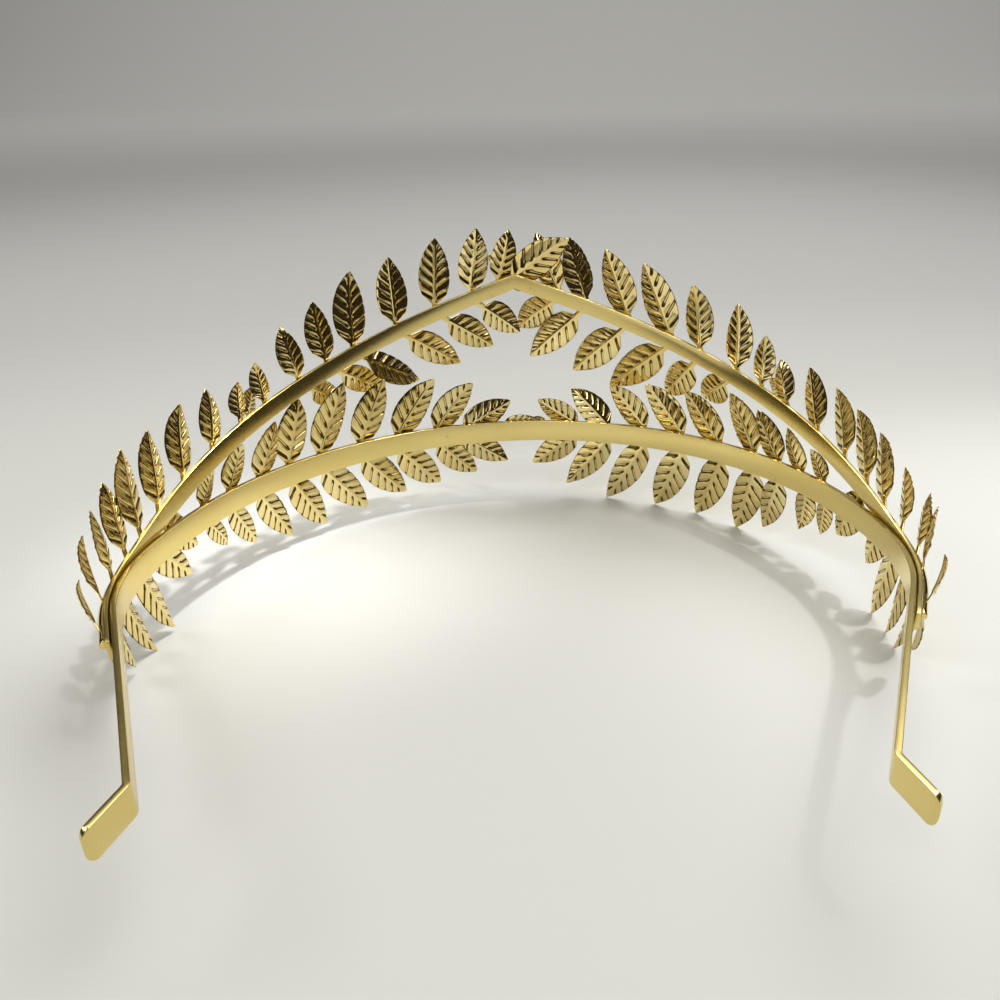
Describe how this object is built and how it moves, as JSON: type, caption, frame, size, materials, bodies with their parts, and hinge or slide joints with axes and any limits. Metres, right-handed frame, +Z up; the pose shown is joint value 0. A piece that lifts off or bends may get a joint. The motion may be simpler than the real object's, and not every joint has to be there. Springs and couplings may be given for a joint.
{
  "type": "laurel wreath crown",
  "caption": "Open laurel wreath crown in gold-coloured metal: a flat head band, a second strip rising to a peak, and sprays of veined leaves.",
  "frame": {"origin": "under the middle of the crown's outline, on the surface that its longest leaf tips stand on", "axes": "+Z up, +Y towards the front of the crown, where the wearer faces, +X towards the wearer's right; the open ends of the band point to -Y"},
  "size_m": [0.151, 0.1417, 0.0677],
  "materials": {
    "band_metal": "satin",
    "leaf_metal": "polished"
  },
  "bodies": {
    "root": {"head_band": "band_metal", "peak_band": "band_metal", "main_spray_left": "leaf_metal", "main_spray_right": "leaf_metal", "peak_spray_left": "leaf_metal", "peak_spray_right": "leaf_metal", "side_spray_left": "leaf_metal", "side_spray_right": "leaf_metal"}
  },
  "joints": []
}
